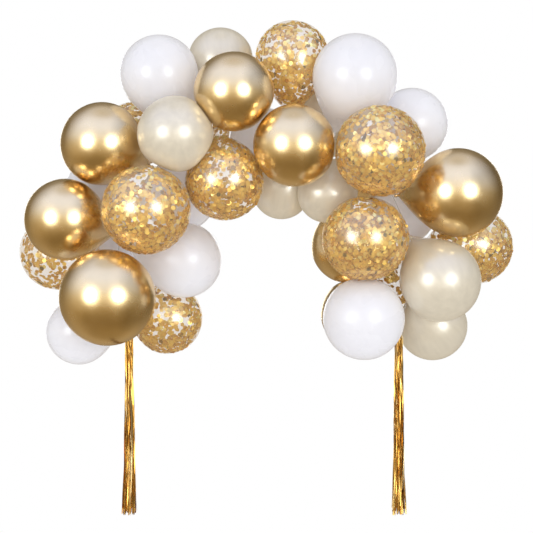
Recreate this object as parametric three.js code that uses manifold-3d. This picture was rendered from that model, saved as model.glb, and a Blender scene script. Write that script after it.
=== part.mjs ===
// Balloon garland: 38 latex balloons knotted on a perforated tape that is bent to
// a horseshoe arch, with a foil tassel hanging from each end of the tape.
// Millimetres and degrees, +Z up. The origin is the middle of the tape's outer face
// at the crown of the arch, and the front of the garland faces -Y.

import * as THREE from "three";
import { mergeVertices } from "three/addons/utils/BufferGeometryUtils.js";
import Module from "manifold-3d";

const wasm = await Module();
wasm.setup();

// The tape: its outer face follows a circle, as far as the reach on either side.
const ARCH_RADIUS = 440;
const ARCH_REACH = 114;
const TAPE_WIDTH = 16;
const TAPE_THICKNESS = 1.6;
const TAPE_FACETS = 31;

// The room left between two pieces that touch.
const GAP = 0.3;

// A balloon: its round body tapers to a neck, which ends in a knot on the tape.
const BALLOON_SIDES = 12;
const BODY_RINGS = 7;
const TAPER_REACH = 1.62;
const TAPER_SHARPNESS = 1.15;
const NECK_RADIUS = 4;
const KNOT_RADIUS = 6;
const KNOT_LENGTH = 8;
// Where along the taper a balloon may lean on its neighbours.
const LEANING_STEPS = [0, 0.2, 0.4, 0.55, 0.7, 0.85, 1];
const LEANING_MARGIN = 2;

// A tassel: a small tied head, a neck, and a bundle of foil that spreads downwards.
const TASSEL_LENGTH = 565;
const TASSEL_HEAD_RADIUS = 7;
const TASSEL_NECK_RADIUS = 4.5;
const TASSEL_TOP_RADIUS = 12;
const TASSEL_END_RADIUS = 23;
const TASSEL_DEPTH_SHARE = 0.8;
const TASSEL_SIDES = 20;
const TASSEL_PLEATS = 5;
const TASSEL_PLEAT_DEPTH = 0.14;
const TASSEL_RAGGEDNESS = 12;

const FINISHES = {
  gold: { color: 0xb58d45, roughness: 0.25, metalness: 1 },
  white: { color: 0xf2f2f5, roughness: 0.35, metalness: 0 },
  ivory: { color: 0xd8ccb6, roughness: 0.3, metalness: 0.15 },
  confetti: { color: 0xe0b060, roughness: 0.2, metalness: 0.3 },
  tape: { color: 0xe8edf0, roughness: 0.3, metalness: 0 },
  foil: { color: 0xb8872c, roughness: 0.3, metalness: 1 },
};

// Every balloon: its name and finish, the middle of its round body (x, y, z), the
// radius there, and the angle round the arch at which its knot sits, 0 at the crown.
const BALLOONS = [
  ["white_balloon_foot_left", "white", -555, 10, -635, 99, -112],
  ["gold_balloon_foot_left", "gold", -455, -190, -529, 141, -94],
  ["confetti_balloon_foot_left", "confetti", -297, 105, -597, 109, -108],
  ["white_balloon_low_left", "white", -240, 0, -420, 113, -80],
  ["gold_balloon_outer_left", "gold", -590, -70, -300, 121, -77],
  ["confetti_balloon_waist_left", "confetti", -344, -175, -273, 132, -55],
  ["confetti_balloon_outer_left", "confetti", -632, 115, -395, 115, -92],
  ["white_balloon_back_waist_left", "white", -509, 100, -212, 100, -60],
  ["gold_balloon_shoulder_left", "gold", -480, -70, -76, 124, -48],
  ["ivory_balloon_shoulder_left", "ivory", -258, -170, -53, 112, -38],
  ["confetti_balloon_shoulder_left", "confetti", -398, 115, -34, 98, -43],
  ["white_balloon_top_left", "white", -314, -15, 137, 117, -32],
  ["ivory_balloon_crown_left", "ivory", -132, 75, 186, 100, -14],
  ["gold_balloon_crown_left", "gold", -88, -155, 71, 118, -9],
  ["confetti_balloon_inner_left", "confetti", -116, -105, -187, 117, -20],
  ["gold_balloon_crown_right", "gold", 89, -170, -86, 121, 16],
  ["confetti_balloon_crown_right", "confetti", 86, 35, 190, 113, 11],
  ["white_balloon_top_right", "white", 270, -85, 124, 126, 28],
  ["white_balloon_shoulder_right", "white", 445, 20, -11, 109, 49],
  ["confetti_balloon_shoulder_right", "confetti", 337, -190, -104, 134, 43],
  ["gold_balloon_outer_right", "gold", 575, -80, -222, 133, 61],
  ["confetti_balloon_waist_right", "confetti", 295, -160, -359, 126, 80],
  ["gold_balloon_inner_right", "gold", 257, 60, -377, 114, 76],
  ["white_balloon_foot_right", "white", 295, -130, -592, 122, 109],
  ["gold_balloon_back_foot_right", "gold", 283, 90, -584, 110, 106],
  ["ivory_balloon_low_right", "ivory", 520, -100, -482, 121, 76],
  ["ivory_balloon_foot_right", "ivory", 513, 95, -618, 107, 100],
  ["confetti_balloon_outer_right", "confetti", 647, 130, -377, 116, 78],
  ["ivory_balloon_under_crown", "ivory", 53, 70, -207, 89, 13],
  ["ivory_balloon_inner_right", "ivory", 189, -10, -219, 90, 39],
  ["white_balloon_inner_left", "white", -257, 125, -220, 113, -64],
  ["white_balloon_back_crown", "white", -6, 155, -56, 107, -5],
  ["white_balloon_back_waist_right", "white", 425, 165, -265, 108, 60],
  ["confetti_balloon_back_low_right", "confetti", 405, 175, -466, 96, 90],
  ["white_balloon_back_low_left", "white", -448, 180, -395, 102, -88],
  ["confetti_balloon_back_top_left", "confetti", -197, 150, -14, 101, -26],
  ["ivory_balloon_back_top_right", "ivory", 202, 145, 5, 110, 25],
  ["gold_balloon_back_shoulder_right", "gold", 335, 180, -140, 104, 53],
];

const radians = THREE.MathUtils.degToRad;

function finishOf(name) {
  return new THREE.MeshStandardMaterial(FINISHES[name]);
}

// Outward direction and place on the circle of the arch at an angle from the crown.
function outwardAt(angle) {
  return new THREE.Vector3(Math.sin(radians(angle)), 0, Math.cos(radians(angle)));
}

function archPoint(angle, radius) {
  const point = outwardAt(angle).multiplyScalar(radius);
  point.z -= ARCH_RADIUS;
  return point;
}

// The tape is a thin arch outline, extruded across its width. The radius grows a
// little at the corners, so that the middles of the flat facets lie on the circle.
function tapeGeometry() {
  const step = (2 * ARCH_REACH) / TAPE_FACETS;
  const cornerGrowth = 1 / Math.cos(radians(step / 2));
  const outline = new THREE.Shape();
  const corners = [];
  for (let i = 0; i <= TAPE_FACETS; i += 1) {
    corners.push(archPoint(-ARCH_REACH + i * step, ARCH_RADIUS * cornerGrowth));
  }
  for (let i = TAPE_FACETS; i >= 0; i -= 1) {
    const innerRadius = (ARCH_RADIUS - TAPE_THICKNESS) * cornerGrowth;
    corners.push(archPoint(-ARCH_REACH + i * step, innerRadius));
  }
  outline.setFromPoints(corners.map((corner) => new THREE.Vector2(corner.x, corner.z)));
  const tape = new THREE.ExtrudeGeometry(outline, { depth: TAPE_WIDTH, bevelEnabled: false });
  tape.translate(0, 0, -TAPE_WIDTH / 2);
  tape.rotateX(Math.PI / 2);
  return tape;
}

// The knot stands clear of the tape in the direction of the balloon's body.
function knotPoint(centre, angle) {
  const middle = archPoint(angle, ARCH_RADIUS - TAPE_THICKNESS / 2);
  const outward = outwardAt(angle);
  const along = new THREE.Vector3(outward.z, 0, -outward.x);
  const toBody = centre.clone().sub(middle).normalize();
  const slant = Math.abs(toBody.dot(along));
  const upright = Math.sqrt(1 - slant * slant);
  const acrossShare = Math.abs(toBody.y) / upright;
  const outwardShare = Math.abs(toBody.dot(outward)) / upright;
  const tapeReach = (acrossShare * TAPE_WIDTH + outwardShare * TAPE_THICKNESS) / 2;
  const reach = (tapeReach + GAP + KNOT_RADIUS * slant) / upright;
  return middle.addScaledVector(toBody, reach);
}

function describeBalloon([name, finish, x, y, z, radius, angle]) {
  const centre = new THREE.Vector3(x, y, z);
  const knot = knotPoint(centre, angle);
  const length = centre.distanceTo(knot);
  const axis = knot.clone().sub(centre).normalize();
  const taper = Math.min(length - KNOT_LENGTH, TAPER_REACH * radius);
  return { name, finish, centre, radius, knot, length, axis, taper };
}

// Radius of the body at a distance from its middle, towards the knot if positive.
function bodyRadius(balloon, distance) {
  if (distance <= 0) {
    return Math.sqrt(Math.max(balloon.radius ** 2 - distance ** 2, 0));
  }
  const share = Math.min(distance / balloon.taper, 1);
  return Math.max(balloon.radius * (1 - share ** 2) ** TAPER_SHARPNESS, NECK_RADIUS);
}

// The balloon is turned round its own axis, with its crown down and its knot up.
function balloonGeometry(balloon) {
  const profile = [];
  for (let i = 0; i <= BODY_RINGS; i += 1) {
    const share = (1 - Math.cos((Math.PI * i) / BODY_RINGS)) / 2;
    const distance = share * (balloon.radius + balloon.taper) - balloon.radius;
    profile.push(new THREE.Vector2(i === 0 ? 0 : bodyRadius(balloon, distance), distance));
  }
  if (balloon.length - KNOT_LENGTH - balloon.taper > KNOT_LENGTH) {
    profile.push(new THREE.Vector2(NECK_RADIUS, balloon.length - KNOT_LENGTH));
  }
  profile.push(new THREE.Vector2(KNOT_RADIUS, balloon.length - KNOT_LENGTH / 3));
  profile.push(new THREE.Vector2(0, balloon.length));
  return new THREE.LatheGeometry(profile, BALLOON_SIDES);
}

// Round places along the balloon, from its middle to its knot, with their radii.
function leaningPlaces(balloon) {
  return LEANING_STEPS.map((step) => {
    const distance = step * balloon.taper;
    const radius = step === 1 ? KNOT_RADIUS : bodyRadius(balloon, distance) * (1 - 0.1 * step);
    return { point: balloon.centre.clone().addScaledVector(balloon.axis, distance), radius };
  });
}

// The flat that two balloons press on each other, or null where they stay apart:
// the plane through the rim in which their most overlapping round places meet.
function pressedFlat(first, second) {
  let deepest = -LEANING_MARGIN;
  let flat = null;
  for (const one of leaningPlaces(first)) {
    for (const other of leaningPlaces(second)) {
      const between = other.point.clone().sub(one.point);
      const span = between.length();
      const depth = one.radius + other.radius - span;
      if (depth > deepest) {
        const normal = between.divideScalar(span);
        const share = (span ** 2 + one.radius ** 2 - other.radius ** 2) / (2 * span);
        deepest = depth;
        flat = { normal, offset: normal.dot(one.point) + share };
      }
    }
  }
  return flat;
}

// A closed geometry as a solid that can be cut.
function toSolid(geometry) {
  const bare = geometry.clone();
  bare.deleteAttribute("normal");
  bare.deleteAttribute("uv");
  const merged = mergeVertices(bare, 1e-3);
  const corners = [];
  for (let i = 0; i < merged.index.count; i += 3) {
    const triangle = [0, 1, 2].map((k) => merged.index.getX(i + k));
    if (new Set(triangle).size === 3) {
      corners.push(...triangle);
    }
  }
  return new wasm.Manifold(new wasm.Mesh({
    numProp: 3,
    vertProperties: new Float32Array(merged.attributes.position.array),
    triVerts: new Uint32Array(corners),
  }));
}

function toGeometry(solid) {
  const mesh = solid.getMesh();
  const geometry = new THREE.BufferGeometry();
  geometry.setAttribute("position", new THREE.BufferAttribute(mesh.vertProperties, 3));
  geometry.setIndex(new THREE.BufferAttribute(mesh.triVerts, 1));
  geometry.computeVertexNormals();
  return geometry;
}

// A balloon keeps what lies on its own side of every flat that it shares.
function balloonMesh(balloon, all) {
  const mesh = new THREE.Mesh(new THREE.BufferGeometry(), finishOf(balloon.finish));
  mesh.name = balloon.name;
  mesh.position.copy(balloon.centre);
  mesh.quaternion.setFromUnitVectors(new THREE.Vector3(0, 1, 0), balloon.axis);
  mesh.updateMatrix();
  const toLocal = mesh.matrix.clone().invert();
  let solid = toSolid(balloonGeometry(balloon));
  for (const other of all) {
    const flat = other === balloon ? null : pressedFlat(balloon, other);
    if (flat) {
      const keep = new THREE.Plane(flat.normal.clone().negate(), flat.offset - GAP / 2);
      keep.applyMatrix4(toLocal);
      solid = solid.trimByPlane(keep.normal.toArray(), -keep.constant);
    }
  }
  mesh.geometry = toGeometry(solid);
  return mesh;
}

// A tassel is turned as a round bundle and then pressed a little flat, pleated
// lengthways, and cut unevenly at its lower end.
function tasselGeometry() {
  const profile = [
    [0, 0],
    [TASSEL_HEAD_RADIUS * 0.7, 0],
    [TASSEL_HEAD_RADIUS, -6],
    [TASSEL_NECK_RADIUS, -14],
    [TASSEL_TOP_RADIUS, -30],
    [TASSEL_TOP_RADIUS * 1.1, -TASSEL_LENGTH * 0.35],
    [TASSEL_END_RADIUS * 0.72, -TASSEL_LENGTH * 0.75],
    [TASSEL_END_RADIUS, -TASSEL_LENGTH + TASSEL_RAGGEDNESS],
    [0, -TASSEL_LENGTH + TASSEL_RAGGEDNESS],
  ].map(([radius, height]) => new THREE.Vector2(radius, height)).reverse();
  const bundle = new THREE.LatheGeometry(profile, TASSEL_SIDES);
  const place = bundle.attributes.position;
  for (let i = 0; i < place.count; i += 1) {
    const [x, height, z] = [place.getX(i), place.getY(i), place.getZ(i)];
    const around = Math.atan2(z, x);
    const down = THREE.MathUtils.smoothstep(-height, 14, TASSEL_LENGTH);
    const pleat = 1 + TASSEL_PLEAT_DEPTH * Math.sqrt(down) * Math.cos(TASSEL_PLEATS * around);
    const isEnd = height < -TASSEL_LENGTH * 0.9 && Math.hypot(x, z) > 1;
    const uneven = isEnd ? TASSEL_RAGGEDNESS * Math.sin(3 * around + 1) : 0;
    place.setXYZ(i, x * pleat, height + uneven, z * pleat * TASSEL_DEPTH_SHARE);
  }
  bundle.rotateX(Math.PI / 2);
  return bundle;
}

function tasselMesh(name, side) {
  const mesh = new THREE.Mesh(tasselGeometry(), finishOf("foil"));
  const end = archPoint(ARCH_REACH, ARCH_RADIUS);
  const underTape = end.z - TAPE_THICKNESS - GAP;
  mesh.name = name;
  mesh.position.set(side * end.x, 0, underTape);
  mesh.rotation.z = side > 0 ? 0 : Math.PI;
  return mesh;
}

const tape = new THREE.Mesh(tapeGeometry(), finishOf("tape"));
tape.name = "balloon_tape";

const described = BALLOONS.map(describeBalloon);
const balloons = new THREE.Group();
for (const balloon of described) {
  balloons.add(balloonMesh(balloon, described));
}

const tassels = new THREE.Group();
tassels.add(tasselMesh("tassel_left", -1));
tassels.add(tasselMesh("tassel_right", 1));

const garland = new THREE.Group();
garland.add(tape, balloons, tassels);

export default garland;
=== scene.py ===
"""Looks of a balloon garland: chrome, white, pearl and clear balloons, foil confetti
inside the clear ones, foil tassels, a perforated tape and a small photo studio."""

import math
import bmesh
import bpy
import numpy as np
from bpy.props import (
    FloatProperty,
    FloatVectorProperty,
    IntProperty,
    PointerProperty,
)
from mathutils import Matrix, Vector, noise


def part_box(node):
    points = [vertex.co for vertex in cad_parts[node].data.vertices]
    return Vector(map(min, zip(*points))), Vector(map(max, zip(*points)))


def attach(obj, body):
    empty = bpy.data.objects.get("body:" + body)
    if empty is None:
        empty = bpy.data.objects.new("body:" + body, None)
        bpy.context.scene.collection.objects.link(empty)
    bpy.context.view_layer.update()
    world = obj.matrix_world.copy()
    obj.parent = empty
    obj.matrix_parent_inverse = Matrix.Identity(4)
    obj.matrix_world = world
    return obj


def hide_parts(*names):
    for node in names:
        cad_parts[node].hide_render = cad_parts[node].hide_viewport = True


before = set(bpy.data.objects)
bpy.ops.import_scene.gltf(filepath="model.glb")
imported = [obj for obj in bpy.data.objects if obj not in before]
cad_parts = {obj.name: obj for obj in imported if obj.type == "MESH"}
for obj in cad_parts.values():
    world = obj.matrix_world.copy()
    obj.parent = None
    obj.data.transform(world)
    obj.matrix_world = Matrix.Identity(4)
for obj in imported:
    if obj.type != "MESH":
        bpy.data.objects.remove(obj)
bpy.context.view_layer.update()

bl_info = {
    "name": "Balloon Garland",
    "version": (1, 0, 0),
    "blender": (4, 5, 0),
    "location": "3D View > Sidebar > Garland",
    "description": "Balloons, confetti, tassels and tape of a balloon garland",
    "category": "Add Mesh",
}

# How the solids of the balloons are made, in metres.
TAPER_REACH = 1.62
TAPER_SHARPNESS = 1.15
NECK_RADIUS = 0.004
KNOT_RADIUS = 0.006
KNOT_LENGTH = 0.008
GAP = 0.0003
LEANING_STEPS = (0, 0.2, 0.4, 0.55, 0.7, 0.85, 1)
LEANING_SHRINK = 0.1
LEANING_MARGIN = 0.002

# How a solid is measured. Its knot is where many corners lie close together. Its ball
# is fitted in rounds to the corners far from the knot that no neighbour presses in.
KNOT_SPAN = 0.016
KNOT_CORNERS = 12
FAR_SHARE = 0.68
FIT_ROUNDS = 12
FIT_START = 0.003
FIT_SHRINK = 0.6
FIT_END = 0.0003
FIT_CORNERS = 8

# The rolled end of a balloon: radius and distance before the tail of its knot, in metres.
KNOT_OUTLINE = (
    (0.0056, 0.0068), (0.0061, 0.0056), (0.0057, 0.0044),
    (0.0042, 0.0036), (0.0044, 0.0026), (0.0053, 0.0013),
    (0.0051, 0.0004), (0.0036, 0.0001), (0, 0.0004),
)

# The confetti of each clear balloon, fitted to the photo: the area of all its flakes as
# a share of the film's area, and how strongly they gather in clumps.
CONFETTI_FILL = {
    "confetti_balloon_foot_left": (1.1, 0.8),
    "confetti_balloon_waist_left": (1.25, 0.7),
    "confetti_balloon_outer_left": (0.45, 1.1),
    "confetti_balloon_shoulder_left": (1.2, 0.6),
    "confetti_balloon_inner_left": (1.35, 0.6),
    "confetti_balloon_crown_right": (1.1, 0.6),
    "confetti_balloon_shoulder_right": (1.3, 0.6),
    "confetti_balloon_waist_right": (1.35, 0.5),
    "confetti_balloon_outer_right": (1.4, 0.7),
    "confetti_balloon_back_low_right": (0.8, 0.9),
    "confetti_balloon_back_top_left": (0.8, 0.9),
}

# Where flakes lie on a film: tries for each flake, the end towards the neck in radii,
# the size of the clumps, and what gives a place its chance.
TRIES_A_FLAKE = 12
NECK_LIMIT = 1.3
CLUMP_SCALE = 17
FINE_CLUMP_SCALE = 41
FINE_CLUMP_SHARE = 0.5
BASE_CHANCE = 0.32
CLUMP_CHANCE = 0.8
SUNK_CHANCE = 0.3

# How a flake differs from the others: depth under the film in metres, size, and tone. The tone is
# partly random and partly painted light: it rises with height, and a few flakes are painted dark
# as mirrored shade.
FLAKE_DEPTHS = (0.002, 0.006)
FLAKE_SIZES = (0.88, 1.08)
# Share of flakes painted near black, as painted reflection of shade.
PAINTED_DARK_SHARE = 0.03
TONE_SPREAD = 0.9
# Painted light: flakes higher in a balloon are given a lighter tone.
PAINTED_LIGHT_RISE = 0.3
PAINTED_LIGHT_LEVEL = 0.25
TONE_FLOOR = 0.04

# The tape, as its solid is made, in metres.
ARCH_RADIUS = 0.440
ARCH_REACH = math.radians(114)
TAPE_FACETS = 31
HOLES_A_FACET = 3
TAPE_WIDTH = 0.016
TAPE_THICKNESS = 0.0016

# Half width of a tassel at depths below its top, in metres.
TASSEL_OUTLINE = (
    (0.000, 0.0045), (0.006, 0.0068), (0.014, 0.0042), (0.030, 0.0110),
    (0.198, 0.0130), (0.424, 0.0165), (0.565, 0.0230),
)
TASSEL_DEPTH_SHARE = 0.8
TASSEL_NECK_DEPTH = 0.014
TASSEL_BINDINGS = 3
TASSEL_WIRE = 0.0008
TASSEL_LOOP_DEPTH = 0.005
WIRE_TONE = 0.6

# The strands of a tassel, in metres: they spread over the fan length below the top.
STRAND_THICKNESS = 0.00025
STRAND_SWAY = 0.0011
STRAND_UNEVENNESS = 0.03
FAN_LENGTH = 0.1

# The studio, in metres. Angles of the lamps are in degrees from straight in front.
LAMP_TARGET = (0, 0, -0.25)
LAMP_DISTANCE = 12
LAMP_SIZE = 4.4
GLOW_SIZE = 7.6
LAMP_HEIGHT = 0.4
BACK_LAMP_HEIGHT = 0.6
FRONT_LAMPS = (("lamp_left", -37), ("lamp_right", 29))
BACK_LAMPS = (("back_lamp_left", -164), ("back_lamp_right", 164))
LAMP_COLOUR = (0.88, 0.94, 1.0)
GLOW_COLOUR = (0.84, 0.93, 1.0)
BACKDROP_RADIUS = 26
REFLECTIONS_RADIUS = 22
FLOOR_RADIUS = 9
FLOOR_HEIGHT = -1.35


# Settings

class GarlandBalloonSettings(bpy.types.PropertyGroup):
    """Shape of the balloons"""

    sides: IntProperty(
        name="Sides",
        description="Faces round a balloon",
        default=64,
        min=12,
    )
    rings: IntProperty(
        name="Rings",
        description="Rings of faces from the crown of a balloon to its neck",
        default=44,
        min=8,
    )
    softness: FloatProperty(
        name="Press softness",
        description="How softly a balloon rounds into the flat where it meets another",
        default=0.0035,
        unit="LENGTH",
    )


class GarlandColourSettings(bpy.types.PropertyGroup):
    """Colours of the latex, film and foil"""

    gold: FloatVectorProperty(
        name="Gold latex",
        description="Colour of the chrome gold balloons",
        default=(0.81, 0.605, 0.315),
        subtype="COLOR",
    )
    white: FloatVectorProperty(
        name="White latex",
        description="Colour of the white balloons",
        default=(0.79, 0.785, 0.825),
        subtype="COLOR",
    )
    ivory: FloatVectorProperty(
        name="Ivory latex",
        description="Colour of the pearl balloons",
        default=(0.73, 0.66, 0.53),
        subtype="COLOR",
    )
    film: FloatVectorProperty(
        name="Clear latex",
        description="Colour of the clear balloons",
        default=(0.90, 0.72, 0.46),
        subtype="COLOR",
    )
    flake: FloatVectorProperty(
        name="Confetti",
        description="Colour of the foil confetti",
        default=(0.98, 0.66, 0.13),
        subtype="COLOR",
    )
    tinsel: FloatVectorProperty(
        name="Tassel foil",
        description="Colour of the foil of the tassels",
        default=(0.55, 0.34, 0.09),
        subtype="COLOR",
    )


class GarlandConfettiSettings(bpy.types.PropertyGroup):
    """Foil confetti inside the clear balloons"""

    diameter: FloatProperty(
        name="Diameter",
        description="Diameter of one round flake of confetti",
        default=0.0135,
        unit="LENGTH",
    )
    thickness: FloatProperty(
        name="Thickness",
        description="Thickness of one flake",
        default=0.0003,
        precision=4,
        unit="LENGTH",
    )
    tilt: FloatProperty(
        name="Tilt",
        description="How far a flake may lift off the film",
        default=math.radians(16),
        unit="ROTATION",
    )
    seed: IntProperty(
        name="Seed",
        description="Seed of the random draws that place the flakes",
        default=7,
    )


class GarlandTapeSettings(bpy.types.PropertyGroup):
    """Holes of the tape"""

    hole_length: FloatProperty(
        name="Hole length",
        description="Length of a hole along the tape",
        default=0.011,
        unit="LENGTH",
    )
    hole_width: FloatProperty(
        name="Hole width",
        description="Width of a hole across the tape",
        default=0.006,
        unit="LENGTH",
    )


class GarlandTasselSettings(bpy.types.PropertyGroup):
    """Foil tassels at the ends of the tape"""

    strands: IntProperty(
        name="Strands",
        description="Foil strands in one tassel",
        default=120,
    )
    strand_width: FloatProperty(
        name="Strand width",
        description="Width of one foil strand",
        default=0.003,
        unit="LENGTH",
    )
    strand_rings: IntProperty(
        name="Strand rings",
        description="Steps along one strand",
        default=18,
    )
    seed: IntProperty(
        name="Seed",
        description="Seed of the waves of the strands",
        default=11,
    )


class GarlandStudioSettings(bpy.types.PropertyGroup):
    """Camera and lights"""

    camera_distance: FloatProperty(
        name="Camera distance",
        description="Distance of the camera from the arch",
        default=6.0,
        unit="LENGTH",
    )
    view_width: FloatProperty(
        name="View width",
        description="Width that the camera sees at the arch",
        default=1.599,
        unit="LENGTH",
    )
    ambient: FloatProperty(
        name="Ambient light",
        description="Strength of the even light from all sides",
        default=0.80,
    )
    lamp_power: FloatProperty(
        name="Round lamps",
        description="Power of each of the two round lamps that shine in the balloons",
        default=670.0,
        unit="POWER",
    )
    glow_power: FloatProperty(
        name="Lamp glow",
        description="Power of the wide soft glow round each round lamp",
        default=330.0,
        unit="POWER",
    )
    back_power: FloatProperty(
        name="Back lamps",
        description="Power of each of the two round lamps that shine in the hidden side",
        default=110.0,
        unit="POWER",
    )
    front_power: FloatProperty(
        name="Front light",
        description="Power of the soft light in front of the garland",
        default=150.0,
        unit="POWER",
    )


# Balloon shapes

def measure_balloon(node):
    """Middle, radius and knot of a balloon, taken from its solid."""
    mesh = node.data
    places = np.empty(len(mesh.vertices) * 3)
    mesh.vertices.foreach_get("co", places)
    places = np.unique(np.round(places.reshape(-1, 3), 6), axis=0)
    spans = np.linalg.norm(places[:, None] - places[None], axis=2)
    crowded = places[(spans < KNOT_SPAN).sum(1) >= KNOT_CORNERS]
    if not len(crowded):
        raise RuntimeError(f"{node.name} has no knot")
    middle = (places.max(0) + places.min(0)) / 2
    knot = crowded[np.argmax(np.linalg.norm(crowded - middle, axis=1))]
    reach = np.linalg.norm(places - knot, axis=1)
    far = places[reach > FAR_SHARE * reach.max()]
    keep = np.ones(len(far), bool)
    for step in range(FIT_ROUNDS):
        table = np.c_[2 * far[keep], np.ones(keep.sum())]
        found = np.linalg.lstsq(table, (far[keep] ** 2).sum(1), rcond=None)[0]
        centre = found[:3]
        radius = math.sqrt(found[3] + centre @ centre)
        miss = np.linalg.norm(far - centre, axis=1) - radius
        closer = miss > -max(FIT_END, FIT_START * FIT_SHRINK ** step)
        if closer.sum() < FIT_CORNERS:
            break
        keep = closer
    length = np.linalg.norm(knot - centre)
    return {
        "name": node.name,
        "centre": centre,
        "radius": radius,
        "axis": (knot - centre) / length,
        "length": length,
        "taper": min(length - KNOT_LENGTH, TAPER_REACH * radius),
    }


def body_radius(shape, distance):
    """Radius of a balloon at a distance from its middle, towards the knot if positive."""
    if distance <= 0:
        return math.sqrt(max(shape["radius"] ** 2 - distance ** 2, 0))
    share = min(distance / shape["taper"], 1)
    full = shape["radius"] * (1 - share ** 2) ** TAPER_SHARPNESS
    return max(full, NECK_RADIUS)


def leaning_places(shape):
    """Round places along a balloon where it may lean on others."""
    points = []
    radii = []
    for step in LEANING_STEPS:
        distance = step * shape["taper"]
        points.append(shape["centre"] + shape["axis"] * distance)
        if step == 1:
            radii.append(KNOT_RADIUS)
        else:
            radii.append(body_radius(shape, distance) * (1 - LEANING_SHRINK * step))
    return np.array(points), np.array(radii)


def pressed_flats(shape, others):
    """Planes on which a balloon presses its neighbours."""
    flats = []
    own_points, own_radii = leaning_places(shape)
    for other in others:
        if other is shape:
            continue
        points, radii = leaning_places(other)
        between = points[None] - own_points[:, None]
        spans = np.linalg.norm(between, axis=2)
        depths = own_radii[:, None] + radii[None] - spans
        i, j = np.unravel_index(np.argmax(depths), depths.shape)
        if depths[i, j] <= -LEANING_MARGIN:
            continue
        span = spans[i, j]
        normal = between[i, j] / span
        share = (span ** 2 + own_radii[i] ** 2 - radii[j] ** 2) / (2 * span)
        flats.append((normal, normal @ own_points[i] + share - GAP / 2))
    return flats


def press(places, flats, softness):
    """Pushes places back behind the flats, with a soft edge round each one."""
    for normal, offset in flats:
        beyond = places @ normal - offset
        soft = -softness * np.logaddexp(0, -beyond / softness)
        places += np.outer(soft - beyond, normal)
    for _ in range(3):
        for normal, offset in flats:
            beyond = np.maximum(places @ normal - offset, 0)
            places -= np.outer(beyond, normal)
    return places


def balloon_profile(shape, rings):
    """Half outline of a balloon from its crown to the tail of its knot."""
    profile = []
    for i in range(rings + 1):
        share = (1 - math.cos(math.pi * i / rings)) / 2
        distance = share * (shape["radius"] + shape["taper"]) - shape["radius"]
        profile.append((0 if i == 0 else body_radius(shape, distance), distance))
    end = shape["length"]
    neck = end - KNOT_LENGTH
    if neck - shape["taper"] > KNOT_LENGTH:
        profile.append((NECK_RADIUS, neck - 0.004))
        profile.append((NECK_RADIUS * 1.05, neck))
    profile += [(radius, end - back) for radius, back in KNOT_OUTLINE]
    return profile


def make_balloon_mesh(shape, others, settings):
    """A finely turned balloon in its place, pressed on its neighbours."""
    turned = bmesh.new()
    own = turned.verts.layers.float_vector.new("own_place")
    corners = [turned.verts.new((r, 0, z)) for r, z in balloon_profile(shape, settings.rings)]
    edges = [turned.edges.new(pair) for pair in zip(corners, corners[1:])]
    bmesh.ops.spin(
        turned,
        geom=corners + edges,
        cent=(0, 0, 0),
        axis=(0, 0, 1),
        angle=2 * math.pi,
        steps=settings.sides,
        use_merge=True,
    )
    bmesh.ops.remove_doubles(turned, verts=turned.verts, dist=1e-6)
    bmesh.ops.recalc_face_normals(turned, faces=turned.faces)
    for vertex in turned.verts:
        vertex[own] = vertex.co / shape["radius"]
    turn = Vector(shape["axis"]).to_track_quat("Z", "Y").to_matrix().to_4x4()
    turned.transform(Matrix.Translation(shape["centre"]) @ turn)
    mesh = bpy.data.meshes.new(shape["name"] + "_latex")
    turned.to_mesh(mesh)
    turned.free()
    places = np.empty(len(mesh.vertices) * 3)
    mesh.vertices.foreach_get("co", places)
    places = places.reshape(-1, 3)
    press(places, pressed_flats(shape, others), settings.softness)
    mesh.vertices.foreach_set("co", places.ravel())
    mesh.shade_smooth()
    mesh.update()
    return mesh


def add_piece(name, mesh, material):
    """Adds a finished piece to the scene, with its finish and its body."""
    mesh.materials.clear()
    mesh.materials.append(material)
    piece = bpy.data.objects.new(name, mesh)
    bpy.context.scene.collection.objects.link(piece)
    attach(piece, "root")
    return piece


def all_shapes():
    """Every balloon of the garland, measured from its solid."""
    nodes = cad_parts
    return [measure_balloon(nodes[name]) for name in sorted(nodes) if "_balloon_" in name]


def dress_balloons(kind, material):
    """Replaces the solids of one kind of balloon with finely turned ones."""
    shapes = all_shapes()
    settings = bpy.context.scene.garland_balloons
    dressed = [shape for shape in shapes if shape["name"].startswith(kind)]
    if not dressed:
        raise RuntimeError(f"the garland has no {kind} balloons")
    for shape in dressed:
        mesh = make_balloon_mesh(shape, shapes, settings)
        piece = add_piece(shape["name"] + "_latex", mesh, material)
        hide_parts(shape["name"])


# Materials

def new_material(name):
    """An empty material with its surface shader."""
    material = bpy.data.materials.new(name)
    material.use_nodes = True
    tree = material.node_tree
    shader = tree.nodes["Principled BSDF"]
    return material, tree, shader


def attribute_noise(tree, attribute, stretch, scale, detail=2.0):
    """Noise that follows a piece's own attribute."""
    place = tree.nodes.new("ShaderNodeAttribute")
    place.attribute_name = attribute
    mapping = tree.nodes.new("ShaderNodeMapping")
    mapping.inputs["Scale"].default_value = stretch
    pattern = tree.nodes.new("ShaderNodeTexNoise")
    pattern.inputs["Scale"].default_value = scale
    pattern.inputs["Detail"].default_value = detail
    tree.links.new(place.outputs["Vector"], mapping.inputs["Vector"])
    tree.links.new(mapping.outputs["Vector"], pattern.inputs["Vector"])
    return pattern.outputs["Fac"]


def ramp(tree, value, stops):
    """A colour ramp over a value."""
    node = tree.nodes.new("ShaderNodeValToRGB")
    elements = node.color_ramp.elements
    while len(elements) < len(stops):
        elements.new(0.5)
    for element, (position, colour) in zip(elements, stops):
        element.position = position
        element.color = (*colour, 1)
    tree.links.new(value, node.inputs["Fac"])
    return node.outputs["Color"]


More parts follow.
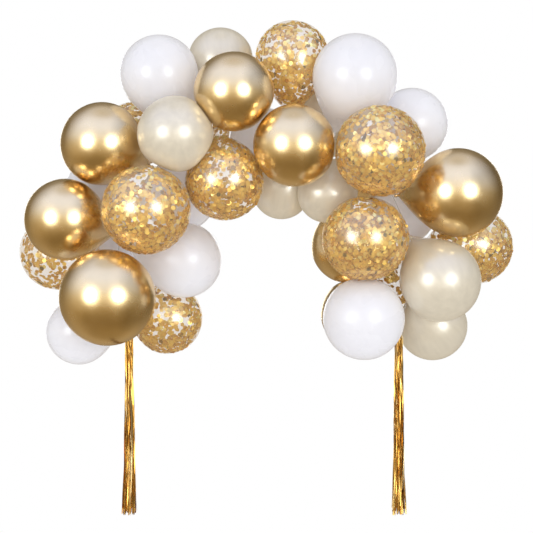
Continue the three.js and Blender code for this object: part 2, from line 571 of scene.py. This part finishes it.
def value_range(tree, value, low, high, start=0.3, end=0.7):
    """A value brought from one range to another."""
    node = tree.nodes.new("ShaderNodeMapRange")
    node.inputs["From Min"].default_value = start
    node.inputs["From Max"].default_value = end
    node.inputs["To Min"].default_value = low
    node.inputs["To Max"].default_value = high
    tree.links.new(value, node.inputs["Value"])
    return node.outputs["Result"]


def bump(tree, shader, height, strength, distance):
    """Fine relief on a surface."""
    node = tree.nodes.new("ShaderNodeBump")
    node.inputs["Strength"].default_value = strength
    node.inputs["Distance"].default_value = distance
    tree.links.new(height, node.inputs["Height"])
    tree.links.new(node.outputs["Normal"], shader.inputs["Normal"])


def shade(colour, factor):
    """A colour made lighter or darker."""
    return tuple(min(channel * factor, 1) for channel in colour)


def chrome_latex(colour):
    """Metallic latex: a satin mirror with faint clouds in its polish."""
    material, tree, shader = new_material("gold_latex")
    clouds = attribute_noise(tree, "own_place", (1, 1, 1), 2.2, 3)
    tint = ramp(tree, clouds, [(0.3, shade(colour, 0.95)), (0.7, shade(colour, 1.04))])
    tree.links.new(tint, shader.inputs["Base Color"])
    tree.links.new(value_range(tree, clouds, 0.22, 0.29), shader.inputs["Roughness"])
    shader.inputs["Metallic"].default_value = 1
    streaks = attribute_noise(tree, "own_place", (9, 9, 1.5), 3, 2)
    bump(tree, shader, streaks, 0.06, 0.001)
    return material


def white_latex(colour):
    """Milky white latex.

    It gives off a little light, which real latex does not, to match the photo.
    """
    material, tree, shader = new_material("white_latex")
    clouds = attribute_noise(tree, "own_place", (1, 1, 0.6), 1.6, 2)
    tint = ramp(tree, clouds, [(0.3, shade(colour, 0.97)), (0.7, shade(colour, 1.02))])
    tree.links.new(tint, shader.inputs["Base Color"])
    tree.links.new(value_range(tree, clouds, 0.24, 0.32), shader.inputs["Roughness"])
    shader.inputs["Specular IOR Level"].default_value = 0.35
    shader.inputs["Subsurface Weight"].default_value = 0.85
    shader.inputs["Subsurface Radius"].default_value = (1, 1, 1)
    shader.inputs["Subsurface Scale"].default_value = 0.1
    shader.inputs["Emission Color"].default_value = (*colour, 1)
    shader.inputs["Emission Strength"].default_value = 0.12
    return material


def pearl_latex(colour):
    """Pearly latex with fine streaks that run to the knot.

    It gives off a little light, which real latex does not, to match the photo.
    """
    material, tree, shader = new_material("ivory_latex")
    streaks = attribute_noise(tree, "own_place", (2.6, 2.6, 0.5), 2.4, 3)
    tint = ramp(tree, streaks, [(0.3, shade(colour, 0.95)), (0.7, shade(colour, 1.04))])
    tree.links.new(tint, shader.inputs["Base Color"])
    tree.links.new(value_range(tree, streaks, 0.28, 0.36), shader.inputs["Roughness"])
    shader.inputs["Metallic"].default_value = 0.15
    shader.inputs["Emission Color"].default_value = (*colour, 1)
    shader.inputs["Emission Strength"].default_value = 0.08
    shader.inputs["Coat Weight"].default_value = 0.15
    shader.inputs["Coat Roughness"].default_value = 0.2
    return material


def clear_latex(colour):
    """Clear latex film with a faint warm veil.

    Its index of refraction is far above that of real latex, which is about 1.5, so
    that its highlights are as strong as in the photo.
    """
    material, tree, shader = new_material("clear_latex")
    clouds = attribute_noise(tree, "own_place", (2, 2, 0.8), 2.5, 3)
    tint = ramp(tree, clouds, [(0.3, shade(colour, 0.93)), (0.7, shade(colour, 1.05))])
    tree.links.new(tint, shader.inputs["Base Color"])
    shader.inputs["Roughness"].default_value = 0.22
    shader.inputs["IOR"].default_value = 5.5
    shader.inputs["Specular Tint"].default_value = (1, 0.89, 0.69, 1)
    shader.inputs["Alpha"].default_value = 0.27
    return material


def foil(name, colour, tone_name, roughness, metallic):
    """Metal foil whose lightness goes with a tone kept on each piece of it. On the tassels the
    tone is random; on the confetti it also holds painted light, lighter flakes higher up and a few
    painted dark as mirrored shade.
    """
    material, tree, shader = new_material(name)
    tone = tree.nodes.new("ShaderNodeAttribute")
    tone.attribute_name = tone_name
    deep = (colour[0] * 0.72, colour[1] * 0.50, colour[2] * 0.25)
    bright = (min(colour[0] * 1.1, 1), min(colour[1] * 1.4, 1), min(colour[2] * 3, 1))
    # The lowest stops are near black, for confetti flakes painted dark as reflection of shade; on
    # the confetti the pale top stop serves as painted highlight.
    tint = ramp(tree, tone.outputs["Fac"], [
        (0.0, shade(colour, 0.08)),
        (0.015, shade(colour, 0.16)),
        (0.03, deep),
        (0.50, colour),
        (0.80, colour),
        (1.0, bright),
    ])
    tree.links.new(tint, shader.inputs["Base Color"])
    rough = value_range(tree, tone.outputs["Fac"], roughness * 0.8, roughness * 1.3, 0, 1)
    tree.links.new(rough, shader.inputs["Roughness"])
    shader.inputs["Metallic"].default_value = metallic
    return material


def clear_tape():
    """Clear plastic of the tape."""
    material, tree, shader = new_material("clear_tape")
    place = tree.nodes.new("ShaderNodeTexCoord")
    grain = tree.nodes.new("ShaderNodeTexNoise")
    grain.inputs["Scale"].default_value = 180
    tree.links.new(place.outputs["Object"], grain.inputs["Vector"])
    tree.links.new(value_range(tree, grain.outputs["Fac"], 0.12, 0.3), shader.inputs["Roughness"])
    shader.inputs["Base Color"].default_value = (0.86, 0.89, 0.92, 1)
    shader.inputs["Alpha"].default_value = 0.45
    shader.inputs["Coat Weight"].default_value = 0.6
    return material


# Confetti

def make_flake(settings):
    """One thin round flake of foil at the origin."""
    flake = bmesh.new()
    bmesh.ops.create_circle(flake, cap_ends=True, segments=8, radius=settings.diameter / 2)
    top = bmesh.ops.extrude_face_region(flake, geom=flake.faces[:], use_keep_orig=True)["geom"]
    raised = [item for item in top if isinstance(item, bmesh.types.BMVert)]
    bmesh.ops.translate(flake, verts=raised, vec=(0, 0, settings.thickness))
    bmesh.ops.recalc_face_normals(flake, faces=flake.faces)
    mesh = bpy.data.meshes.new("flake")
    flake.to_mesh(mesh)
    flake.free()
    return mesh


def film_samples(mesh, count, clumps, rng):
    """Places on the inside of a film, gathered in clumps and towards the bottom.

    The draws are seeded and choose faces by number, but the faces of a turned balloon
    are numbered differently on each run, so the flakes lie elsewhere each time.
    """
    mesh.calc_loop_triangles()
    corners = np.empty(len(mesh.loop_triangles) * 3, np.int32)
    mesh.loop_triangles.foreach_get("vertices", corners)
    places = np.empty(len(mesh.vertices) * 3)
    mesh.vertices.foreach_get("co", places)
    triangles = places.reshape(-1, 3)[corners.reshape(-1, 3)]
    cross = np.cross(triangles[:, 1] - triangles[:, 0], triangles[:, 2] - triangles[:, 0])
    areas = np.linalg.norm(cross, axis=1)
    outward = cross / np.maximum(areas, 1e-12)[:, None]
    own = np.empty(len(mesh.vertices) * 3)
    mesh.attributes["own_place"].data.foreach_get("vector", own)
    wide = own.reshape(-1, 3)[corners.reshape(-1, 3)[:, 0], 2] < NECK_LIMIT
    weights = areas * wide
    heights = places.reshape(-1, 3)[:, 2]
    low, high = heights.min(), heights.max()
    tries = rng.choice(len(areas), size=count * TRIES_A_FLAKE, p=weights / weights.sum())
    spread = rng.random((len(tries), 2))
    chosen = []
    for index, (u, v) in zip(tries, spread):
        if u + v > 1:
            u, v = 1 - u, 1 - v
        a, b, c = triangles[index]
        point = a + (b - a) * u + (c - a) * v
        cloud = noise.noise(Vector(point) * CLUMP_SCALE)
        cloud += FINE_CLUMP_SHARE * noise.noise(Vector(point) * FINE_CLUMP_SCALE)
        sunk = 0.5 - (point[2] - low) / (high - low)
        chance = BASE_CHANCE + clumps * CLUMP_CHANCE * cloud + SUNK_CHANCE * sunk
        if rng.random() < chance:
            chosen.append((point, outward[index]))
            if len(chosen) == count:
                break
    return chosen


def make_confetti(film_piece, fill, clumps, settings, material, index):
    """All the flakes inside one clear balloon as one piece."""
    rng = np.random.default_rng(settings.seed + index)
    mesh = film_piece.data
    area = sum(polygon.area for polygon in mesh.polygons)
    count = int(fill * area / (math.pi * settings.diameter ** 2 / 4))
    flake = make_flake(settings)
    gathered = bmesh.new()
    samples = film_samples(mesh, count, clumps, rng)
    for point, outward in samples:
        inward = -Vector(outward)
        aside = inward.orthogonal().normalized()
        lean = Matrix.Rotation(rng.normal() * settings.tilt, 4, aside)
        around = Matrix.Rotation(rng.uniform(0, 2 * math.pi), 4, inward)
        flat = inward.to_track_quat("Z", "Y").to_matrix().to_4x4()
        size = Matrix.Scale(rng.uniform(*FLAKE_SIZES), 4)
        depth = rng.uniform(*FLAKE_DEPTHS)
        place = Matrix.Translation(Vector(point) + inward * depth) @ around @ lean @ flat @ size
        flake.transform(place)
        gathered.from_mesh(flake)
        flake.transform(place.inverted())
    name = film_piece.name.replace("_balloon_", "_flakes_").replace("_latex", "")
    result = bpy.data.meshes.new(name)
    gathered.to_mesh(result)
    gathered.free()
    faces = len(flake.polygons)
    heights = np.array([point[2] for point, _ in samples])
    risen = (heights - heights.min()) / np.ptp(heights)
    chances = rng.random(len(samples))
    # Painted light: the tone rises with the flake's height, so higher flakes are painted lighter.
    tone_with_painted_light = np.clip(TONE_SPREAD * chances + PAINTED_LIGHT_RISE * (risen - PAINTED_LIGHT_LEVEL), TONE_FLOOR, 1)
    # The darkest few flakes keep a tone near zero and are painted dark, as painted reflection of
    # shade.
    tones = np.where(chances < PAINTED_DARK_SHARE, chances, tone_with_painted_light)
    result.attributes.new("flake_tone", "FLOAT", "FACE")
    result.attributes["flake_tone"].data.foreach_set("value", np.repeat(tones, faces))
    bpy.data.meshes.remove(flake)
    return add_piece(name, result, material)


# Tape

def on_arch(along, across, depth):
    """Place on the bent tape: facets from its left end, width, and depth under it."""
    facet = min(int(along + 1e-6), TAPE_FACETS - 1)
    step = 2 * ARCH_REACH / TAPE_FACETS
    angle = (facet + 0.5) * step - ARCH_REACH
    radius = ARCH_RADIUS - depth
    shift = (along - facet - 0.5) * 2 * math.tan(step / 2) * radius
    return Vector((
        math.sin(angle) * radius + math.cos(angle) * shift,
        across,
        math.cos(angle) * radius - math.sin(angle) * shift - ARCH_RADIUS,
    ))


def make_tape(node, settings):
    """The tape as a strip of cells, each with a long hole, bent facet by facet."""
    cell = bmesh.new()
    hole = bmesh.ops.create_circle(cell, segments=24, radius=0.5)["verts"]
    cell_length = 2 * ARCH_REACH * ARCH_RADIUS / TAPE_FACETS / HOLES_A_FACET
    bmesh.ops.scale(cell, verts=hole,
                    vec=(settings.hole_length / cell_length, settings.hole_width, 1))
    rim = bmesh.ops.create_circle(cell, segments=24, radius=0.5)["verts"]
    for vertex in rim:
        reach = max(abs(vertex.co.x), abs(vertex.co.y))
        vertex.co.x *= 0.5 / reach
        vertex.co.y *= 0.5 / reach * TAPE_WIDTH
    bmesh.ops.bridge_loops(cell, edges=cell.edges[:])
    tile = bpy.data.meshes.new("tape_cell")
    cell.to_mesh(tile)
    cell.free()
    strip = bmesh.new()
    tile.transform(Matrix.Translation((0.5, 0, 0)))
    for _ in range(TAPE_FACETS * HOLES_A_FACET):
        strip.from_mesh(tile)
        tile.transform(Matrix.Translation((1, 0, 0)))
    bpy.data.meshes.remove(tile)
    bmesh.ops.remove_doubles(strip, verts=strip.verts, dist=1e-4)
    grown = bmesh.ops.extrude_face_region(strip, geom=strip.faces[:], use_keep_orig=True)["geom"]
    lowered = [item for item in grown if isinstance(item, bmesh.types.BMVert)]
    bmesh.ops.translate(strip, verts=lowered, vec=(0, 0, -TAPE_THICKNESS))
    for vertex in strip.verts:
        vertex.co = on_arch(vertex.co.x / HOLES_A_FACET, vertex.co.y, -vertex.co.z)
    bmesh.ops.recalc_face_normals(strip, faces=strip.faces)
    mesh = bpy.data.meshes.new(node.name + "_strip")
    strip.to_mesh(mesh)
    strip.free()
    piece = add_piece(node.name + "_strip", mesh, clear_tape())
    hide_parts(node.name)


# Tassels

def tassel_width(depth):
    """Half width of a tassel at a depth below its top."""
    depths = [step[0] for step in TASSEL_OUTLINE]
    widths = [step[1] for step in TASSEL_OUTLINE]
    return float(np.interp(depth, depths, widths))


def make_strand(settings):
    """One straight, thin, closed strip of foil, one metre long and one metre wide."""
    strip = bmesh.new()
    bmesh.ops.create_grid(strip, x_segments=1, y_segments=settings.strand_rings, size=0.5)
    top = bmesh.ops.extrude_face_region(strip, geom=strip.faces[:], use_keep_orig=True)["geom"]
    raised = [item for item in top if isinstance(item, bmesh.types.BMVert)]
    bmesh.ops.translate(strip, verts=raised, vec=(0, 0, 1))
    bmesh.ops.recalc_face_normals(strip, faces=strip.faces)
    mesh = bpy.data.meshes.new("strand")
    strip.to_mesh(mesh)
    strip.free()
    return mesh


def make_ring(radius, thickness, squeeze):
    """A ring of round wire about the upright axis, squeezed from front to back."""
    wire = bmesh.new()
    around = Matrix.Translation((radius, 0, 0)) @ Matrix.Rotation(math.pi / 2, 4, "X")
    start = bmesh.ops.create_circle(wire, segments=8, radius=thickness, matrix=around)["verts"]
    bmesh.ops.spin(wire, geom=start + wire.edges[:], cent=(0, 0, 0), axis=(0, 0, 1),
                   angle=2 * math.pi, steps=28, use_merge=True)
    bmesh.ops.remove_doubles(wire, verts=wire.verts, dist=1e-6)
    bmesh.ops.scale(wire, verts=wire.verts, vec=(1, squeeze, 1))
    bmesh.ops.recalc_face_normals(wire, faces=wire.faces)
    mesh = bpy.data.meshes.new("ring")
    wire.to_mesh(mesh)
    wire.free()
    return mesh


def bent_strand(flat, number, height, settings, rng):
    """Places of one strand as it waves down the bundle, below the tassel's top."""
    around = 2 * math.pi * (number + rng.uniform(-0.4, 0.4)) / settings.strands * 3
    share = math.sqrt(rng.uniform(0.12, 1))
    length = height - rng.uniform(0, STRAND_UNEVENNESS)
    wave = rng.uniform(0.4, 1.6, 3)
    phase = rng.uniform(0, 2 * math.pi, 4)
    twist = rng.uniform(-5, 5)
    places = np.empty_like(flat)
    for i, (t, side, lift) in enumerate(zip(0.5 - flat[:, 1], flat[:, 0], flat[:, 2])):
        depth = t ** 1.25 * length
        width = tassel_width(depth)
        fan = min(depth / FAN_LENGTH, 1)
        sway = STRAND_SWAY * fan * math.sin(2 * math.pi * wave[0] * 2 * t + phase[0])
        swing = STRAND_SWAY * fan * math.sin(2 * math.pi * wave[1] * 2 * t + phase[1])
        turn = around + 0.25 * math.sin(2 * math.pi * wave[2] * t + phase[2]) * fan
        reach = width * (share * fan + (1 - fan) * (0.75 + 0.25 * share))
        face = turn + phase[3] * fan + twist * t
        across = (side * math.cos(face), side * math.sin(face))
        thick = (-math.sin(face), math.cos(face))
        squeeze = settings.strand_width * (0.55 + 0.45 * fan)
        places[i] = (
            reach * math.cos(turn) + sway + squeeze * across[0]
            + lift * STRAND_THICKNESS * thick[0],
            reach * math.sin(turn) * TASSEL_DEPTH_SHARE + swing + squeeze * across[1]
            + lift * STRAND_THICKNESS * thick[1],
            -depth,
        )
    return places


def tassel_ties(middle):
    """Place, radius and squeeze of the loop through the tape and of each binding."""
    hole = on_arch(TAPE_FACETS - 0.5 / HOLES_A_FACET, 0, TAPE_THICKNESS / 2)
    hole.x *= 1 if middle.x > 0 else -1
    head = middle - Vector((0, 0, TASSEL_LOOP_DEPTH))
    upright = Matrix.Rotation(math.pi / 2, 4, "X")
    ties = [(Matrix.Translation((hole + head) / 2) @ upright, (hole - head).length / 2, 1)]
    radius = tassel_width(TASSEL_NECK_DEPTH) + TASSEL_WIRE
    for turn in range(TASSEL_BINDINGS):
        depth = TASSEL_NECK_DEPTH + 2 * TASSEL_WIRE * (turn - 1)
        place = Matrix.Translation(middle - Vector((0, 0, depth)))
        ties.append((place, radius, TASSEL_DEPTH_SHARE))
    return ties


def make_tassel(node, settings, material):
    """A tied bundle of thin foil strands hanging from the end of the tape."""
    low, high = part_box(node.name)
    middle = Vector(((low[0] + high[0]) / 2, (low[1] + high[1]) / 2, high[2]))
    height = high[2] - low[2]
    rng = np.random.default_rng(settings.seed + (1 if middle.x > 0 else 0))
    strand = make_strand(settings)
    flat = np.empty(len(strand.vertices) * 3)
    strand.vertices.foreach_get("co", flat)
    flat = flat.reshape(-1, 3)
    gathered = bmesh.new()
    tones = []
    for number in range(settings.strands):
        places = bent_strand(flat, number, height, settings, rng)
        strand.vertices.foreach_set("co", (places + np.array(middle)).ravel())
        gathered.from_mesh(strand)
        tones.append(rng.random())
    values = list(np.repeat(tones, len(strand.polygons)))
    bpy.data.meshes.remove(strand)
    for place, radius, squeeze in tassel_ties(middle):
        ring = make_ring(radius, TASSEL_WIRE, squeeze)
        ring.transform(place)
        gathered.from_mesh(ring)
        values += [WIRE_TONE] * len(ring.polygons)
        bpy.data.meshes.remove(ring)
    mesh = bpy.data.meshes.new(node.name + "_foil")
    gathered.to_mesh(mesh)
    gathered.free()
    mesh.attributes.new("strand_tone", "FLOAT", "FACE")
    mesh.attributes["strand_tone"].data.foreach_set("value", values)
    piece = add_piece(node.name + "_foil", mesh, material)
    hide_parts(node.name)


# Operators

class GARLAND_OT_gold_balloons(bpy.types.Operator):
    """Make the chrome gold balloons"""

    bl_idname = "garland.gold_balloons"
    bl_label = "Gold balloons"

    def execute(self, context):
        colours = context.scene.garland_colours
        dress_balloons("gold", chrome_latex(colours.gold))
        return {"FINISHED"}


class GARLAND_OT_white_balloons(bpy.types.Operator):
    """Make the white balloons"""

    bl_idname = "garland.white_balloons"
    bl_label = "White balloons"

    def execute(self, context):
        colours = context.scene.garland_colours
        dress_balloons("white", white_latex(colours.white))
        return {"FINISHED"}


class GARLAND_OT_pearl_balloons(bpy.types.Operator):
    """Make the ivory pearl balloons"""

    bl_idname = "garland.pearl_balloons"
    bl_label = "Pearl balloons"

    def execute(self, context):
        colours = context.scene.garland_colours
        dress_balloons("ivory", pearl_latex(colours.ivory))
        return {"FINISHED"}


class GARLAND_OT_clear_balloons(bpy.types.Operator):
    """Make the clear balloons that hold the confetti"""

    bl_idname = "garland.clear_balloons"
    bl_label = "Clear balloons"

    def execute(self, context):
        colours = context.scene.garland_colours
        dress_balloons("confetti", clear_latex(colours.film))
        return {"FINISHED"}


class GARLAND_OT_confetti(bpy.types.Operator):
    """Fill the clear balloons with foil confetti"""

    bl_idname = "garland.confetti"
    bl_label = "Confetti"

    def execute(self, context):
        scene = context.scene
        material = foil("gold_confetti", scene.garland_colours.flake, "flake_tone", 0.3, 0.5)
        for index, (name, (fill, clumps)) in enumerate(CONFETTI_FILL.items()):
            film_piece = bpy.data.objects.get(name + "_latex")
            if film_piece is None:
                raise RuntimeError(f"{name} has no film yet")
            make_confetti(film_piece, fill, clumps, scene.garland_confetti, material, index)
        return {"FINISHED"}


class GARLAND_OT_tassels(bpy.types.Operator):
    """Make the two foil tassels"""

    bl_idname = "garland.tassels"
    bl_label = "Tassels"

    def execute(self, context):
        scene = context.scene
        material = foil("tassel_foil", scene.garland_colours.tinsel, "strand_tone", 0.25, 1)
        for name in ("tassel_left", "tassel_right"):
            make_tassel(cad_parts[name], scene.garland_tassels, material)
        return {"FINISHED"}


class GARLAND_OT_tape(bpy.types.Operator):
    """Make the perforated clear tape"""

    bl_idname = "garland.tape"
    bl_label = "Tape"

    def execute(self, context):
        make_tape(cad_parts["balloon_tape"], context.scene.garland_tape)
        return {"FINISHED"}


def glow(name, colour, strength):
    """A material that shines evenly."""
    material = bpy.data.materials.new(name)
    material.use_nodes = True
    tree = material.node_tree
    tree.nodes.remove(tree.nodes["Principled BSDF"])
    shine = tree.nodes.new("ShaderNodeEmission")
    shine.inputs["Color"].default_value = (*colour, 1)
    shine.inputs["Strength"].default_value = strength
    output = tree.nodes["Material Output"]
    tree.links.new(shine.outputs["Emission"], output.inputs["Surface"])
    material.cycles.emission_sampling = "NONE"
    return material, tree, shine


def studio_reflections():
    """Soft panels and dark gaps round the garland, as its shiny skins mirror them."""
    material, tree, shine = glow("studio_reflections", (1, 1, 1), 1)
    place = tree.nodes.new("ShaderNodeTexCoord")
    ray = tree.nodes.new("ShaderNodeVectorMath")
    ray.operation = "NORMALIZE"
    tree.links.new(place.outputs["Object"], ray.inputs[0])
    parts = tree.nodes.new("ShaderNodeSeparateXYZ")
    tree.links.new(ray.outputs["Vector"], parts.inputs["Vector"])
    height = value_range(tree, parts.outputs["Z"], 0, 1, -1, 1)
    front = ramp(tree, height, [
        (0.00, (0.136, 0.098, 0.048)),
        (0.05, (0.110, 0.077, 0.036)),
        (0.15, (0.128, 0.092, 0.044)),
        (0.27, (0.175, 0.130, 0.066)),
        (0.42, (0.254, 0.212, 0.145)),
        (0.52, (0.325, 0.302, 0.263)),
        (0.64, (0.400, 0.440, 0.590)),
        (0.85, (0.450, 0.540, 0.890)),
        (0.95, (0.430, 0.510, 0.830)),
        (1.00, (0.290, 0.300, 0.360)),
    ])
    back = ramp(tree, height, [
        (0.00, (0.149, 0.112, 0.060)),
        (0.13, (0.210, 0.170, 0.115)),
        (0.35, (0.142, 0.112, 0.070)),
        (0.50, (0.109, 0.085, 0.050)),
        (0.70, (0.083, 0.068, 0.043)),
        (0.88, (0.135, 0.125, 0.110)),
        (1.00, (0.290, 0.300, 0.360)),
    ])
    facing = value_range(tree, parts.outputs["Y"], 0, 1, -0.25, 0.55)
    beside = value_range(tree, parts.outputs["X"], 2.4, 1.5, 0.35, 0.75)
    mix = tree.nodes.new("ShaderNodeMix")
    mix.data_type = "RGBA"
    tree.links.new(facing, mix.inputs["Factor"])
    tree.links.new(front, mix.inputs["A"])
    tree.links.new(back, mix.inputs["B"])
    tree.links.new(mix.outputs["Result"], shine.inputs["Color"])
    tree.links.new(beside, shine.inputs["Strength"])
    return material


def add_stage(name, mesh, material, **seen):
    """Adds an object of the studio and sets which rays see it."""
    mesh.materials.append(material)
    thing = bpy.data.objects.new(name, mesh)
    bpy.context.scene.collection.objects.link(thing)
    for ray in ("camera", "diffuse", "glossy", "transmission", "shadow", "volume_scatter"):
        setattr(thing, "visible_" + ray, seen.get(ray, False))
    return thing


def round_shell(name, radius):
    """A large round shell that faces inwards."""
    shell = bmesh.new()
    bmesh.ops.create_icosphere(shell, subdivisions=4, radius=radius)
    bmesh.ops.reverse_faces(shell, faces=shell.faces)
    mesh = bpy.data.meshes.new(name)
    shell.to_mesh(mesh)
    shell.free()
    mesh.shade_smooth()
    return mesh


def lamp_place(angle, height):
    """Place of a lamp at an angle round the garland from straight in front."""
    turn = math.radians(angle)
    return LAMP_DISTANCE * math.sin(turn), -LAMP_DISTANCE * math.cos(turn), height


def add_lamp(name, place, size, power, colour=(1, 1, 1)):
    """A round area lamp that points at the garland."""
    data = bpy.data.lights.new(name, "AREA")
    data.shape = "DISK"
    data.size = size
    data.energy = power
    data.color = colour
    lamp = bpy.data.objects.new(name, data)
    lamp.location = place
    lamp.rotation_euler = (Vector(LAMP_TARGET) - Vector(place)).to_track_quat("-Z", "Y").to_euler()
    bpy.context.scene.collection.objects.link(lamp)
    return lamp


class GARLAND_OT_studio(bpy.types.Operator):
    """Make the camera, the lights, the floor and the backdrop"""

    bl_idname = "garland.studio"
    bl_label = "Studio"

    def execute(self, context):
        scene = context.scene
        settings = scene.garland_studio
        scene.view_settings.view_transform = "Standard"
        scene.view_settings.look = "None"

        lens = bpy.data.cameras.new("camera")
        lens.sensor_width = 36
        lens.lens = 36 * settings.camera_distance / settings.view_width
        lens.clip_end = 100
        camera = bpy.data.objects.new("camera", lens)
        camera.location = (0.0075, -settings.camera_distance, -0.4395)
        camera.rotation_euler = (math.pi / 2, 0, 0)
        scene.collection.objects.link(camera)
        scene.camera = camera

        world = bpy.data.worlds.new("even_light")
        world.use_nodes = True
        light = world.node_tree.nodes["Background"]
        light.inputs["Color"].default_value = (1, 1, 1, 1)
        light.inputs["Strength"].default_value = settings.ambient
        scene.world = world

        paper, _, _ = glow("white_paper", (1, 1, 1), 1.0)
        backdrop = round_shell("backdrop", BACKDROP_RADIUS)
        add_stage("backdrop", backdrop, paper, camera=True, transmission=True)
        reflections = round_shell("reflections", REFLECTIONS_RADIUS)
        add_stage("reflections", reflections, studio_reflections(), glossy=True)

        ground = bmesh.new()
        bmesh.ops.create_circle(ground, cap_ends=True, segments=64, radius=FLOOR_RADIUS)
        bmesh.ops.translate(ground, verts=ground.verts, vec=(0, 0, FLOOR_HEIGHT))
        floor = bpy.data.meshes.new("floor")
        ground.to_mesh(floor)
        ground.free()
        add_stage("floor", floor, paper, camera=True, transmission=True)

        for name, angle in FRONT_LAMPS:
            place = lamp_place(angle, LAMP_HEIGHT)
            lamp = add_lamp(name, place, LAMP_SIZE, settings.lamp_power, LAMP_COLOUR)
            lamp.visible_diffuse = False
            around = add_lamp(name + "_glow", place, GLOW_SIZE, settings.glow_power, GLOW_COLOUR)
            around.visible_diffuse = False
        for name, angle in BACK_LAMPS:
            place = lamp_place(angle, BACK_LAMP_HEIGHT)
            lamp = add_lamp(name, place, LAMP_SIZE, settings.back_power, LAMP_COLOUR)
            lamp.visible_diffuse = False
        front = add_lamp("soft_front", (0.6, -8, -0.8), 4.0, settings.front_power)
        front.visible_glossy = False
        return {"FINISHED"}


OPERATORS = (
    GARLAND_OT_gold_balloons,
    GARLAND_OT_white_balloons,
    GARLAND_OT_pearl_balloons,
    GARLAND_OT_clear_balloons,
    GARLAND_OT_confetti,
    GARLAND_OT_tassels,
    GARLAND_OT_tape,
    GARLAND_OT_studio,
)


class GARLAND_PT_sidebar(bpy.types.Panel):
    """Lists the steps of the garland"""

    bl_idname = "GARLAND_PT_sidebar"
    bl_label = "Balloon Garland"
    bl_space_type = "VIEW_3D"
    bl_region_type = "UI"
    bl_category = "Garland"

    def draw(self, context):
        for operator in OPERATORS:
            self.layout.operator(operator.bl_idname)


SETTINGS = {
    "garland_balloons": GarlandBalloonSettings,
    "garland_colours": GarlandColourSettings,
    "garland_confetti": GarlandConfettiSettings,
    "garland_tape": GarlandTapeSettings,
    "garland_tassels": GarlandTasselSettings,
    "garland_studio": GarlandStudioSettings,
}


def register():
    for name, group in SETTINGS.items():
        bpy.utils.register_class(group)
        setattr(bpy.types.Scene, name, PointerProperty(type=group))
    for operator in OPERATORS:
        bpy.utils.register_class(operator)
    bpy.utils.register_class(GARLAND_PT_sidebar)


def unregister():
    bpy.utils.unregister_class(GARLAND_PT_sidebar)
    for operator in reversed(OPERATORS):
        bpy.utils.unregister_class(operator)
    for name, group in reversed(SETTINGS.items()):
        delattr(bpy.types.Scene, name)
        bpy.utils.unregister_class(group)


def main():
    register()
    bpy.ops.garland.gold_balloons()
    bpy.ops.garland.white_balloons()
    bpy.ops.garland.pearl_balloons()
    bpy.ops.garland.clear_balloons()
    bpy.ops.garland.confetti()
    bpy.ops.garland.tassels()
    bpy.ops.garland.tape()
    bpy.ops.garland.studio()


if __name__ == "__main__":
    main()
